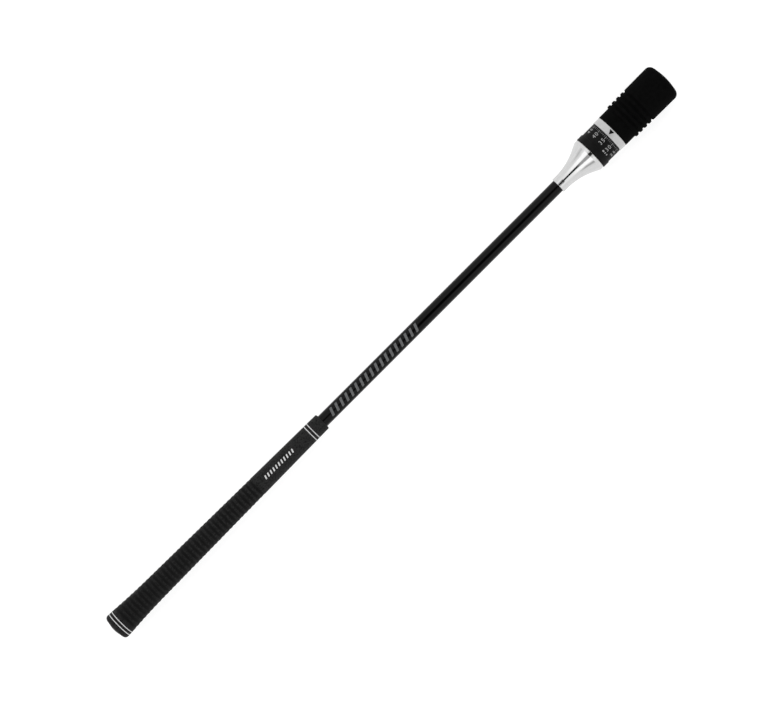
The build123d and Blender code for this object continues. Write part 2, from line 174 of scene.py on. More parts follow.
GRIP_BAR = (1.4, 3.6, 0.3, 0.4)
GRIP_BARS = 11
GRIP_BARS_START = 196.0
GRIP_BAR_PITCH = 3.4
GRIP_BARS_TURN = 2
FIGURE_HEIGHT = 0.04
LINE_HEIGHT = 0.03
GRIP_PRINT_HEIGHT = 0.05
MARK_ROOT = 0.1

# ---- Fineness of the meshes ----
SEGMENTS = 192
FINE_SEGMENTS = 256
SHARP_EDGE = math.radians(32)
HOLD_LENGTH = 0.15
BEND_STEP = 0.35
SPRING_STEPS = 36 * SPRING_TURNS
SPRING_SIDES = 10


# ---- Node materials ----
class Shader:
    """A node material under construction. Its methods return output sockets."""

    def __init__(self, name):
        self.material = bpy.data.materials.new(name)
        self.material.use_nodes = True
        self.tree = self.material.node_tree
        self.principled = self.tree.nodes["Principled BSDF"]
        place = self.tree.nodes.new("ShaderNodeTexCoord")
        self.place = place.outputs["Object"]

    def link(self, source, target):
        self.tree.links.new(source, target)

    def feed(self, socket, value):
        """Links a socket, or sets a plain value."""
        if isinstance(value, bpy.types.NodeSocket):
            self.link(value, socket)
        else:
            socket.default_value = value

    def math(self, operation, *values):
        node = self.tree.nodes.new("ShaderNodeMath")
        node.operation = operation
        for i, value in enumerate(values):
            self.feed(node.inputs[i], value)
        return node.outputs[0]

    def scaled(self, x, y, z):
        """Object coordinates stretched along each axis."""
        node = self.tree.nodes.new("ShaderNodeMapping")
        self.link(self.place, node.inputs["Vector"])
        node.inputs["Scale"].default_value = (x, y, z)
        return node.outputs["Vector"]

    def polar(self, along, around):
        """Coordinates that follow a surface turned about X: along the stick, and round it."""
        parts = self.tree.nodes.new("ShaderNodeSeparateXYZ")
        self.link(self.place, parts.inputs[0])
        turn = self.math("ARCTAN2", parts.outputs["Y"], parts.outputs["Z"])
        node = self.tree.nodes.new("ShaderNodeCombineXYZ")
        self.link(self.math("MULTIPLY", parts.outputs["X"], along), node.inputs["X"])
        self.link(self.math("MULTIPLY", self.math("SINE", turn), around), node.inputs["Y"])
        self.link(self.math("MULTIPLY", self.math("COSINE", turn), around), node.inputs["Z"])
        return node.outputs[0]

    def noise(self, vector, scale, detail=3.0, rough=0.55):
        node = self.tree.nodes.new("ShaderNodeTexNoise")
        self.link(vector, node.inputs["Vector"])
        node.inputs["Scale"].default_value = scale
        node.inputs["Detail"].default_value = detail
        node.inputs["Roughness"].default_value = rough
        return node.outputs["Fac"]

    def cells(self, vector, scale):
        """Distance to the nearest cell centre: a pebbled grain."""
        node = self.tree.nodes.new("ShaderNodeTexVoronoi")
        self.link(vector, node.inputs["Vector"])
        node.inputs["Scale"].default_value = scale
        return node.outputs["Distance"]

    def spread(self, value, low, high, to_low, to_high):
        """Maps a value's range to another, held at both ends."""
        node = self.tree.nodes.new("ShaderNodeMapRange")
        self.feed(node.inputs["Value"], value)
        for name, number in (
            ("From Min", low),
            ("From Max", high),
            ("To Min", to_low),
            ("To Max", to_high),
        ):
            self.feed(node.inputs[name], number)
        return node.outputs["Result"]

    def blend(self, factor, first, second):
        """Mixes two colours."""
        node = self.tree.nodes.new("ShaderNodeMix")
        node.data_type = "RGBA"
        self.feed(node.inputs[0], factor)
        self.feed(node.inputs[6], first)
        self.feed(node.inputs[7], second)
        return node.outputs[2]

    def attribute(self, name):
        node = self.tree.nodes.new("ShaderNodeAttribute")
        node.attribute_name = name
        return node.outputs["Fac"]

    def bump(self, height, strength, distance_mm, under=None):
        node = self.tree.nodes.new("ShaderNodeBump")
        node.inputs["Strength"].default_value = strength
        node.inputs["Distance"].default_value = distance_mm * MM
        self.link(height, node.inputs["Height"])
        if under is not None:
            self.link(under, node.inputs["Normal"])
        return node.outputs["Normal"]

    def finish(self, colour, roughness, normal=None, **constants):
        """Sets the shader's colour, roughness and normal. Constants are other sockets, by name."""
        self.feed(self.principled.inputs["Base Color"], colour)
        self.feed(self.principled.inputs["Roughness"], roughness)
        if normal is not None:
            self.link(normal, self.principled.inputs["Normal"])
        for name, value in constants.items():
            self.principled.inputs[name.replace("_", " ")].default_value = value
        return self.material


def grey(level, tint=0.0):
    """A grey, slightly warmer or cooler by tint."""
    return (level * (1 + tint), level, level * (1 - tint), 1.0)


def grip_rubber():
    """Dull moulded rubber. Its mesh carries a value for each ring of points: how dusty it is, and low in
    the grooves as painted shade.
    """
    s = Shader("grip_rubber")
    grain = s.cells(s.place, 1900)
    fine = s.noise(s.place, 650, 4, 0.7)
    patches = s.noise(s.place, 120, 3)
    mottle = s.spread(fine, 0.38, 0.62, 0.15, 1.75)
    # The mesh's value lifts the rubber towards grey dust; where it is low in the grooves, that darkening
    # is painted shade.
    dust = s.math("MULTIPLY", s.attribute("rib"), mottle)
    colour = s.blend(dust, s.blend(patches, grey(0.001), grey(0.003)), grey(0.0175))
    rough = s.spread(patches, 0.3, 0.7, 0.62, 0.82)
    pebbles = s.bump(grain, 0.35, 0.08)
    normal = s.bump(fine, 0.3, 0.05, pebbles)
    sheen = {"Sheen_Weight": 0.05, "Sheen_Roughness": 0.4}
    return s.finish(colour, rough, normal, Specular_IOR_Level=0.09, **sheen)


def paint(name, low, high, rough, specular=0.3, tint=0.0):
    """Flat printed or filled paint with slight unevenness."""
    s = Shader(name)
    cloud = s.noise(s.place, 700, 4)
    grain = s.noise(s.place, 4000, 2)
    colour = s.blend(s.spread(cloud, 0.3, 0.7, 0.0, 1.0), grey(low, tint), grey(high, tint))
    roughness = s.spread(grain, 0.3, 0.7, rough - 0.08, rough + 0.08)
    return s.finish(colour, roughness, s.bump(grain, 0.2, 0.02), Specular_IOR_Level=specular)


def shaft_paint():
    s = Shader("shaft_paint")
    peel = s.noise(s.scaled(0.35, 1, 1), 420, 2, 0.4)
    flake = s.noise(s.place, 3200, 3)
    cloud = s.noise(s.scaled(0.2, 1, 1), 90, 3)
    colour = s.blend(s.spread(flake, 0.35, 0.7, 0.0, 1.0), grey(0.0004), grey(0.0012))
    rough = s.spread(cloud, 0.3, 0.7, 0.05, 0.085)
    return s.finish(colour, rough, s.bump(peel, 0.02, 0.03), Specular_IOR_Level=0.145)


def chrome():
    s = Shader("chrome")
    lines = s.noise(s.polar(9000, 30), 1.0, 3, 0.6)
    haze = s.noise(s.place, 160, 4)
    colour = s.blend(s.spread(haze, 0.3, 0.7, 0.0, 1.0), grey(0.56), grey(0.6))
    rough = s.spread(haze, 0.3, 0.7, 0.07, 0.12)
    return s.finish(colour, rough, s.bump(lines, 0.06, 0.006), Metallic=1.0)


def satin_silver():
    s = Shader("satin_silver")
    beads = s.cells(s.place, 6000)
    haze = s.noise(s.place, 300, 4)
    colour = s.blend(s.spread(haze, 0.3, 0.7, 0.0, 1.0), grey(0.475), grey(0.525))
    rough = s.spread(haze, 0.3, 0.7, 0.55, 0.64)
    coat = {"Coat_Weight": 0.9, "Coat_Roughness": 0.14, "Coat_IOR": 1.55}
    return s.finish(colour, rough, s.bump(beads, 0.25, 0.02), Metallic=0.85, **coat)


def dial_black():
    s = Shader("dial_black")
    grain = s.noise(s.place, 2600, 3)
    cloud = s.noise(s.place, 200, 4)
    colour = s.blend(s.spread(cloud, 0.3, 0.7, 0.0, 1.0), grey(0.0025), grey(0.005))
    rough = s.spread(grain, 0.3, 0.7, 0.45, 0.6)
    return s.finish(colour, rough, s.bump(grain, 0.25, 0.03), Specular_IOR_Level=0.08)


def head_rubber():
    s = Shader("head_rubber")
    grain = s.cells(s.place, 1700)
    dust = s.noise(s.place, 260, 5, 0.65)
    colour = s.blend(s.spread(dust, 0.35, 0.75, 0.0, 1.0), grey(0.0015), grey(0.0034))
    rough = s.spread(dust, 0.3, 0.7, 0.75, 0.92)
    return s.finish(colour, rough, s.bump(grain, 0.3, 0.06), Specular_IOR_Level=0.02)


def metal(name, low, high, rough, tint=0.0, lines=12000):
    """Turned or drawn metal with fine lines round the axis."""
    s = Shader(name)
    turned = s.noise(s.polar(lines, 40), 1.0, 3, 0.6)
    haze = s.noise(s.place, 350, 4)
    colour = s.blend(s.spread(haze, 0.3, 0.7, 0.0, 1.0), grey(low, tint), grey(high, tint))
    roughness = s.spread(turned, 0.3, 0.7, rough - 0.06, rough + 0.06)
    return s.finish(colour, roughness, s.bump(turned, 0.2, 0.01), Metallic=1.0)


def brass(name):
    s = Shader(name)
    turned = s.noise(s.polar(12000, 40), 1.0, 3, 0.6)
    tarnish = s.noise(s.place, 220, 5)
    bright = (0.72, 0.55, 0.25, 1)
    dull = (0.5, 0.34, 0.14, 1)
    colour = s.blend(s.spread(tarnish, 0.4, 0.75, 0.0, 1.0), bright, dull)
    roughness = s.spread(tarnish, 0.3, 0.7, 0.25, 0.4)
    return s.finish(colour, roughness, s.bump(turned, 0.2, 0.01), Metallic=1.0)


def plastic(name, low, high, rough, tint=0.0):
    """Moulded plastic or rubber with a fine grain."""
    s = Shader(name)
    cloud = s.noise(s.place, 180, 4)
    grain = s.noise(s.place, 2400, 3)
    colour = s.blend(s.spread(cloud, 0.3, 0.7, 0.0, 1.0), grey(low, tint), grey(high, tint))
    roughness = s.spread(grain, 0.3, 0.7, rough - 0.08, rough + 0.08)
    return s.finish(colour, roughness, s.bump(grain, 0.25, 0.03))


def paper_tape(name):
    s = Shader(name)
    creases = s.noise(s.scaled(0.3, 1, 1), 500, 4)
    fibres = s.noise(s.place, 2600, 4)
    tan = (0.55, 0.5, 0.38, 1)
    cream = (0.68, 0.64, 0.52, 1)
    colour = s.blend(s.spread(fibres, 0.3, 0.7, 0.0, 1.0), tan, cream)
    return s.finish(colour, s.spread(fibres, 0.3, 0.7, 0.75, 0.95), s.bump(creases, 0.4, 0.08))


MATERIALS = {
    "grip_rubber": grip_rubber(),
    "white_paint": paint("white_paint", 0.53, 0.6, 0.55),
    "dial_figures": paint("dial_figures", 0.26, 0.36, 0.55),
    "black_paint": paint("black_paint", 0.0016, 0.004, 0.5, 0.1),
    "grey_print": paint("grey_print", 0.09, 0.125, 0.5, 0.2, -0.02),
    "tape": paper_tape("tape"),
    "shaft_paint": shaft_paint(),
    "steel": metal("steel", 0.36, 0.46, 0.34),
    "bright_steel": metal("bright_steel", 0.55, 0.66, 0.22),
    "spring_steel": metal("spring_steel", 0.26, 0.34, 0.3, 0.01, 3000),
    "chrome": chrome(),
    "nylon": plastic("nylon", 0.76, 0.84, 0.4, 0.04),
    "dial_black": dial_black(),
    "satin_silver": satin_silver(),
    "brass": brass("brass"),
    "magnet_nickel": metal("magnet_nickel", 0.62, 0.74, 0.18, 0.03),
    "inner_rubber": plastic("inner_rubber", 0.02, 0.035, 0.8),
    "sleeve_plastic": plastic("sleeve_plastic", 0.08, 0.12, 0.5),
    "head_rubber": head_rubber(),
}

for part in frame["record"]["subparts"]:
    for cad_slot in frame["nodes"][part["node"]].material_slots:
        cad_slot.material = MATERIALS[part["material_slot"]]


# ---- Outlines ----
def fillet(corners, closed=False, steps=5):
    """A polygon of (x, r, radius) corners as a smooth outline of (x, r) points. On both sides of a
    rounded corner a long straight run gets one more point, so that it is shaded as flat up to there."""
    outline = []
    count = len(corners)
    for i, (x, r, radius) in enumerate(corners):
        ends = not closed and i in (0, count - 1)
        if radius == 0 or ends:
            outline.append((x, r))
            continue
        here = Vector((x, r))
        back = Vector(corners[i - 1][:2]) - here
        ahead = Vector(corners[(i + 1) % count][:2]) - here
        half = back.angle(ahead) / 2
        reach = radius / math.tan(half)
        start = here + back.normalized() * reach
        end = here + ahead.normalized() * reach
        inward = (back.normalized() + ahead.normalized()).normalized()
        centre = here + inward * radius / math.sin(half)
        first = start - centre
        last = end - centre
        turn = first.angle_signed(last)
        if back.length > 3 * (reach + HOLD_LENGTH):
            outline.append(tuple(start + back.normalized() * HOLD_LENGTH))
        for k in range(steps + 1):
            angle = -turn * k / steps
            spoke = Matrix.Rotation(angle, 2) @ first
            outline.append(tuple(centre + spoke))
        if ahead.length > 3 * (reach + HOLD_LENGTH):
            outline.append(tuple(end + ahead.normalized() * HOLD_LENGTH))
    return outline


def arc(centre, radius, start_deg, sweep_deg, steps):
    """Points along a circle's arc in the (x, r) plane."""
    points = []
    for k in range(steps + 1):
        angle = math.radians(start_deg + sweep_deg * k / steps)
        points.append((centre[0] + radius * math.cos(angle), centre[1] + radius * math.sin(angle)))
    return points


# ---- Meshes ----
def piece(name, mesh, body, slot, replaced=(), material=None):
    """A finished mesh as an object that rides on a body. Its material is the slot's, unless named."""
    mesh.materials.append(MATERIALS[material or slot])
    mesh.shade_smooth()
    mesh.set_sharp_from_angle(angle=SHARP_EDGE)
    obj = bpy.data.objects.new(name, mesh)
    bpy.context.scene.collection.objects.link(obj)
    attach(obj, body)
    if replaced:
        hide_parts(*replaced)
    return obj


def outward(mesh):
    """Turns all faces of a closed mesh outwards."""
    bm = bmesh.new()
    bm.from_mesh(mesh)
    bmesh.ops.recalc_face_normals(bm, faces=bm.faces)
    bm.to_mesh(mesh)
    bm.free()


def lathe(name, outlines, segments=SEGMENTS, dust=None):
    """Turns outlines of (x, r) points about X. An outline that starts and ends on the axis closes
    there, and any other is a closed loop. dust has one value for each point of each outline: dust,
    and shade painted into grooves."""
    verts = []
    faces = []
    values = []
    for number, outline in enumerate(outlines):
        rings = []
        for i, (x, r) in enumerate(outline):
            value = dust[number][i] if dust else 0
            if r < 1e-6:
                rings.append([len(verts)] * segments)
                verts.append((x * MM, 0, 0))
                values.append(value)
                continue
            ring = []
            for k in range(segments):
                angle = 2 * math.pi * k / segments
                ring.append(len(verts))
                verts.append((x * MM, r * math.sin(angle) * MM, r * math.cos(angle) * MM))
                values.append(value)
            rings.append(ring)
        looped = outline[0][1] > 1e-6
        pairs = len(rings) if looped else len(rings) - 1
        for i in range(pairs):
            a = rings[i]
            b = rings[(i + 1) % len(rings)]
            for k in range(segments):
                n = (k + 1) % segments
                face = []
                for corner in (a[k], a[n], b[n], b[k]):
                    if corner not in face:
                        face.append(corner)
                faces.append(face)
    mesh = bpy.data.meshes.new(name)
    mesh.from_pydata(verts, [], faces)
    if dust:
        # Each point's value, dust with the grip's painted groove shade, kept as a point attribute.
        mesh.attributes.new("rib", "FLOAT", "POINT").data.foreach_set("value", values)
    outward(mesh)
    return mesh


# ---- Grip ----
# Places across a groove, as shares of its width, and the share of the full depth there.
GROOVE_FLANK = [(0, 0), (0.08, 0.25), (0.16, 0.7), (0.26, 1)]
GROOVE_RISE = [(1 - along, share) for along, share in reversed(GROOVE_FLANK)]
GROOVE_SECTION = GROOVE_FLANK + [(0.5, 1)] + GROOVE_RISE


def grip_radius(x):
    """The grip's outer radius between its grooves."""
    flare = BUTT_FLARE * math.exp(-((x / BUTT_FLARE_REACH) ** 2))
    return GRIP_MOUTH_R + GRIP_TAPER * (GRIP_END - x) + flare


def band_groove(start):
    """The recess that a painted band fills."""
    end = start + BAND_WIDTH
    floor = grip_radius(end) - BAND_GROOVE_DEPTH
    flank = 0.06
    return [
        (start, grip_radius(start)),
        (start + flank, floor),
        (end - flank, floor),
        (end, grip_radius(end)),
    ]


def grip_outline():
    """Outside from butt to mouth with soft ribs, then back through the bore and the vent hole.
    Gives the outline's points and the dust at each, cut down in the grooves as painted shade."""
    corner_end = BUTT_DOME + BUTT_CORNER_R
    cap_r = grip_radius(corner_end)
    points = [(0, VENT_R + 0.3), (0, BUTT_FLAT_R)]
    points += arc((corner_end, cap_r - BUTT_CORNER_R), BUTT_CORNER_R, 180, -90, 12)
    for start in BUTT_BANDS:
        points += band_groove(start)
    points.append((RIBS_START - 1.5, grip_radius(RIBS_START - 1.5)))
    dust = [BUTT_DUST] * len(points)
    count = int((RIBS_END - RIBS_START) / RIB_PITCH)
    for i in range(count):
        x0 = RIBS_START + i * RIB_PITCH
        rib_dust = FIRST_RIB_DUST + (LAST_RIB_DUST - FIRST_RIB_DUST) * i / count
        for along, share in GROOVE_SECTION:
            x = x0 + GROOVE_WIDTH * along
            points.append((x, grip_radius(x) - GROOVE_DEPTH * share))
            # Towards a groove's floor the value falls to a small share of the rib's dust: painted shade.
            dust.append(rib_dust * (1 - share) + GROOVE_SHADE_SHARE * rib_dust * share)
        x = x0 + (GROOVE_WIDTH + RIB_PITCH) / 2
        points.append((x, grip_radius(x) + RIB_SWELL))
        dust.append(rib_dust)
    plain = [RIBS_END + PLAIN_LEAD + i * PLAIN_STEP for i in range(PLAIN_RINGS)]
    points += [(x, grip_radius(x)) for x in plain]
    for start in MOUTH_BANDS:
        points += band_groove(start)
    mouth = GRIP_END - MOUTH_CORNER_R
    points += arc((mouth, grip_radius(mouth) - MOUTH_CORNER_R), MOUTH_CORNER_R, 90, -90, 8)
    points += [
        (GRIP_END, GRIP_BORE_R + 0.2),
        (GRIP_END - 0.2, GRIP_BORE_R),
        (BUTT_WALL, GRIP_BORE_R),
        (BUTT_WALL, VENT_R + 0.2),
        (BUTT_WALL - 0.2, VENT_R),
        (0.3, VENT_R),
        (0.1, VENT_R + 0.08),
    ]
    dust += [PLAIN_DUST] * (len(points) - len(dust))
    return points, dust


def band_ring(start):
    """A painted band, standing a few hundredths proud of the rubber."""
    end = start + BAND_WIDTH
    floor = grip_radius(end) - BAND_DEPTH
    corners = [
        (start + 0.07, floor, 0),
        (start + 0.02, grip_radius(start) + BAND_HEIGHT, 0.05),
        (end - 0.02, grip_radius(end) + BAND_HEIGHT, 0.05),
        (end - 0.07, floor, 0),
    ]
    return fillet(corners, closed=True, steps=3)


# The grip's outline, with the dust at each point and the shade painted into the grooves.
grip_points, grip_dust_and_shade = grip_outline()
grip_mesh = lathe("grip_sleeve", [grip_points], dust=[grip_dust_and_shade])
piece("grip_sleeve", grip_mesh, "stick", "grip_rubber", ("grip",))
for node, starts in (("butt_bands", BUTT_BANDS), ("mouth_bands", MOUTH_BANDS)):
    rings = lathe(node + "_rings", [band_ring(start) for start in starts])
    piece(node + "_rings", rings, "stick", "white_paint", (node,))


# ---- Shaft and cone ----
shaft_corners = [
    (SHAFT_START, SHAFT_BORE_R, 0.15),
    (SHAFT_START, SHAFT_R, 0.25),
    (SHAFT_END, SHAFT_R, 0.25),
    (SHAFT_END, SHAFT_BORE_R, 0.15),
]
shaft_mesh = lathe("shaft_tube", [fillet(shaft_corners, True)])
piece("shaft_tube", shaft_mesh, "stick", "shaft_paint", ("shaft",))


def cone_outline():
    """Neck, trumpet arc, straight flare and rim with rolled edges, closed by the pocket and bore."""
    neck_end = CONE_START + CONE_NECK_LENGTH
    arc_end_r = CONE_NECK_R + CONE_ARC_R * (1 - math.cos(CONE_SLOPE))
    arc_end_x = neck_end + CONE_ARC_R * math.sin(CONE_SLOPE)
    arc_centre = (neck_end, CONE_NECK_R + CONE_ARC_R)
    rim_start = CONE_END - CONE_RIM_LENGTH
    neck = fillet([(CONE_START, SHAFT_R, 0), (CONE_START, CONE_NECK_R, 0.35), (neck_end, CONE_NECK_R, 0)])
    trumpet = arc(arc_centre, CONE_ARC_R, 270, math.degrees(CONE_SLOPE), 40)
    rest = fillet(
        [
            (arc_end_x, arc_end_r, 0),
            (rim_start, CONE_RIM_R, 1.2),
            (CONE_END, CONE_RIM_R, 0.3),
            (CONE_END, CONE_POCKET_R, 0.2),
            (CONE_SHOULDER, CONE_POCKET_R, 0.2),
            (CONE_SHOULDER, SHAFT_R, 0),
        ]
    )
    return neck[:-1] + trumpet + rest[1:]


cone_mesh = lathe("polished_cone", [cone_outline()], FINE_SEGMENTS)
piece("polished_cone", cone_mesh, "stick", "chrome", ("chrome_cone",))


# ---- Dial ring, index ring and head cover ----
def dial_outline():
    rim_end = DIAL_START + DIAL_RIM_LENGTH
    corners = [
        (DIAL_START, DIAL_LAND_R, 0.15),
        (DIAL_START, DIAL_RIM_R, 0.35),
        (rim_end, DIAL_RIM_R, 0.3),
        (rim_end, DIAL_BAND_R, 0.12),
        (DIAL_END, DIAL_BAND_R, 0.25),
        (DIAL_END, DIAL_CHAMBER_R, 0.15),
        (DIAL_LAND_END, DIAL_CHAMBER_R, 0.15),
        (DIAL_LAND_END, DIAL_LAND_R, 0.15),
    ]
    return fillet(corners, True)


def index_outline():
    spigot_r = DIAL_CHAMBER_R - SPIGOT_GAP
    spigot_start = INDEX_START - SPIGOT_LENGTH
    corners = [
        (INDEX_START, spigot_r, 0),
        (INDEX_START, INDEX_R, 0.3),
        (INDEX_END, INDEX_R, 0.12),
        (INDEX_END, TUBE_R, 0),
        (spigot_start, TUBE_R, 0.1),
        (spigot_start, spigot_r, 0.2),
    ]
    return fillet(corners, True)


def cover_outline():
    """From the sleeve's end out to the mouth, then collar, soft ribs, slightly flared barrel,
    rounded corner and domed end."""
    corners = [(INDEX_END, SLEEVE_R, 0), (INDEX_END, COLLAR_R, 0.35)]
    for i in range(COVER_RIB_COUNT):
        x = COVER_RIBS_START + i * COVER_RIB_PITCH
        end = x + COVER_RIB_WIDTH
        corners.append((x, COLLAR_R if i == 0 else COVER_GROOVE_R, COVER_RIB_ROOT_R))
        corners.append((x + COVER_RIB_FLANK, COVER_R, COVER_RIB_TOP_R))
        corners.append((end - COVER_RIB_FLANK, COVER_R, COVER_RIB_TOP_R))
        corners.append((end, COVER_GROOVE_R, COVER_RIB_ROOT_R))
    barrel = COVER_RIBS_START + COVER_RIB_COUNT * COVER_RIB_PITCH
    corner_x = TIP - COVER_DOME - COVER_CORNER_R
    face_r = COVER_END_R - COVER_CORNER_R
    corners.append((barrel, COVER_GROOVE_R, COVER_RIB_ROOT_R))
    corners.append((barrel + COVER_RIB_FLANK, COVER_R, COVER_RIB_TOP_R))
    corners.append((corner_x, COVER_END_R, 0))
    corner = arc((corner_x, face_r), COVER_CORNER_R, 90, -90, 16)
    dome_r = (face_r**2 + COVER_DOME**2) / (2 * COVER_DOME)
    dome_angle = math.degrees(math.asin(face_r / dome_r))
    dome = arc((TIP - dome_r, 0), dome_r, dome_angle, -dome_angle, 10)
    inside = [(SLEEVE_END, 0), (SLEEVE_END, SLEEVE_R)]
    return inside + fillet(corners)[:-1] + corner + dome[1:-1] + [(TIP, 0)]


dial_mesh = lathe("number_ring", [dial_outline()], FINE_SEGMENTS)
piece("number_ring", dial_mesh, "dial", "dial_black", ("dial_ring",))
index_mesh = lathe("satin_ring", [index_outline()])
piece("satin_ring", index_mesh, "stick", "satin_silver", ("index_ring",))
cover_mesh = lathe("head_boot", [cover_outline()])
piece("head_boot", cover_mesh, "stick", "head_rubber", ("head_cover",))


# ---- Marks wrapped on the round surfaces ----
def wrapped(name, shapes, radius, height):
    """Flat closed shapes, each (mesh, x, turn in degrees from +Z towards +Y), bent round the stick.
    A shape's x runs along the stick and its y round it. It stands height above the radius."""
    out = bmesh.new()
    for flat, x0, turn in shapes:
        bm = bmesh.new()
        bm.from_mesh(flat)
        low = min(v.co.y for v in bm.verts)
        high = max(v.co.y for v in bm.verts)
        cuts = int((high - low) / BEND_STEP)
        for i in range(1, cuts + 1):
            level = low + (high - low) * i / (cuts + 1)
            everything = bm.verts[:] + bm.edges[:] + bm.faces[:]
            bmesh.ops.bisect_plane(bm, geom=everything, plane_co=(0, level, 0), plane_no=(0, 1, 0))
        for v in bm.verts:
            x = x0 + v.co.x
            base = radius(x)
            angle = math.radians(turn) + v.co.y / base
            r = base + (height if v.co.z > 0 else -MARK_ROOT)
            v.co = (x * MM, r * math.sin(angle) * MM, r * math.cos(angle) * MM)
        bent = bpy.data.meshes.new(name)
        bm.to_mesh(bent)
        bm.free()
        out.from_mesh(bent)
        bpy.data.meshes.remove(bent)
    bmesh.ops.recalc_face_normals(out, faces=out.faces)
    mesh = bpy.data.meshes.new(name)
    out.to_mesh(mesh)
    out.free()
    return mesh


def plate(points):
    """A flat polygon with thickness. Its top has z above 0."""
    count = len(points)
    verts = [(x, y, -1) for x, y in points] + [(x, y, 1) for x, y in points]
    faces = [list(range(count))[::-1], list(range(count, 2 * count))]
    for i in range(count):
        n = (i + 1) % count
        faces.append([i, n, n + count, i + count])
    mesh = bpy.data.meshes.new("plate")
    mesh.from_pydata(verts, [], faces)
    return mesh


def bar(width, length, slant, corner):
    """A rounded bar, width along the stick and length round it. slant leans its top along +X."""
    points = []
    for sx, sy, start in ((1, -1, 270), (1, 1, 0), (-1, 1, 90), (-1, -1, 180)):
        centre = (sx * (width / 2 - corner), sy * (length / 2 - corner))
        points += arc(centre, corner, start, 90, 4)
    return plate([(x + slant * y, y) for x, y in points])


def digit_shapes():
    """The ten digits as flat plates, all scaled by the same factors, so that 0 has the set size."""
    flats = {}
    for digit in "0123456789":
        curve = bpy.data.curves.new("digit", "FONT")
        curve.body = digit
        curve.extrude = 1.0
        curve.resolution_u = 6
        holder = bpy.data.objects.new("digit", curve)
        bpy.context.scene.collection.objects.link(holder)
        bpy.context.view_layer.update()
        flat = bpy.data.meshes.new_from_object(holder)
        bpy.data.objects.remove(holder)
        bm = bmesh.new()
        bm.from_mesh(flat)
        bmesh.ops.remove_doubles(bm, verts=bm.verts, dist=1e-5)
        bm.to_mesh(flat)
        bm.free()
        flats[digit] = flat
    zero = flats["0"].vertices
    width = max(v.co.x for v in zero) - min(v.co.x for v in zero)
    height = max(v.co.y for v in zero) - min(v.co.y for v in zero)
    for flat in flats.values():
        mid_x = (max(v.co.x for v in flat.vertices) + min(v.co.x for v in flat.vertices)) / 2
        mid_y = (max(v.co.y for v in flat.vertices) + min(v.co.y for v in flat.vertices)) / 2
        for v in flat.vertices:
            v.co.x = (v.co.x - mid_x) * DIGIT_WIDTH / width
            v.co.y = (v.co.y - mid_y) * DIGIT_HEIGHT / height
    return flats


def dial_numbers():
    """The numbers, each at its own place round the dial."""
    digits = digit_shapes()
    shapes = []
    for number in NUMBERS:
        turn = NUMBER_TURN * (number - SET_NUMBER) / VALUE_STEP
        for place, digit in zip(DIGIT_PLACES, str(number)):
            shapes.append((digits[digit], DIAL_END - place, turn))
    return wrapped("dial_numbers", shapes, lambda x: DIAL_BAND_R, FIGURE_HEIGHT)


def dial_ticks():
    """Graduation lines from the lowest number to the highest, long ones at the numbers."""
    first = TICKS_PER_NUMBER * (NUMBERS[0] - SET_NUMBER) // VALUE_STEP
    last = TICKS_PER_NUMBER * (NUMBERS[-1] - SET_NUMBER) // VALUE_STEP
    shapes = []
    for i in range(first, last + 1):
        on_number = i % TICKS_PER_NUMBER == 0
        length = LONG_TICK if on_number else SHORT_TICK
        tick = bar(length, LONG_TICK_WIDTH if on_number else SHORT_TICK_WIDTH, 0, TICK_CORNER_R)
        x = DIAL_END - TICK_PLACE - length / 2
        shapes.append((tick, x, i * NUMBER_TURN / TICKS_PER_NUMBER))
    return wrapped("dial_ticks", shapes, lambda x: DIAL_BAND_R, LINE_HEIGHT)


def unit_bars():
    """Three plain bars where a unit would stand."""
    shapes = []
    for i, length in enumerate(UNIT_BAR_LENGTHS):
        shape = bar(UNIT_BAR_WIDTH, length, 0, UNIT_CORNER_R)
        shapes.append((shape, DIAL_END - UNIT_PLACE, UNIT_TURN + i * UNIT_TURN_STEP))
    return wrapped("dial_unit_bars", shapes, lambda x: DIAL_BAND_R, FIGURE_HEIGHT)


def set_arrow():
    """Triangle on the silver ring that points at the number that is set."""
    base = INDEX_END - ARROW_PLACE
    shape = plate([(base, -ARROW_HALF_WIDTH), (base, ARROW_HALF_WIDTH), (base - ARROW_LENGTH, 0)])
    return wrapped("set_arrow", [(shape, 0, 0)], lambda x: INDEX_R, FIGURE_HEIGHT)


def shaft_bars():
    """Row of slanted bars printed on the shaft."""
    shapes = []
    for i in range(SHAFT_BARS):
        shapes.append((bar(*SHAFT_BAR), SHAFT_BARS_START + i * SHAFT_BAR_PITCH, 0))
    return wrapped("shaft_bars", shapes, lambda x: SHAFT_R, LINE_HEIGHT)


def grip_bars():
    """Row of small slanted bars on the grip's plain stretch."""
    shapes = []
    for i in range(GRIP_BARS):
        shapes.append((bar(*GRIP_BAR), GRIP_BARS_START + i * GRIP_BAR_PITCH, GRIP_BARS_TURN))
    return wrapped("grip_bars", shapes, grip_radius, GRIP_PRINT_HEIGHT)


piece("dial_numbers", dial_numbers(), "dial", "white_paint", material="dial_figures")
piece("dial_ticks", dial_ticks(), "dial", "white_paint", ("dial_scale",), "dial_figures")
piece("dial_unit_bars", unit_bars(), "dial", "white_paint", material="dial_figures")
piece("set_arrow", set_arrow(), "stick", "black_paint", ("index_mark",))
piece("shaft_bars", shaft_bars(), "stick", "white_paint", material="grey_print")
piece("grip_bars", grip_bars(), "stick", "white_paint")


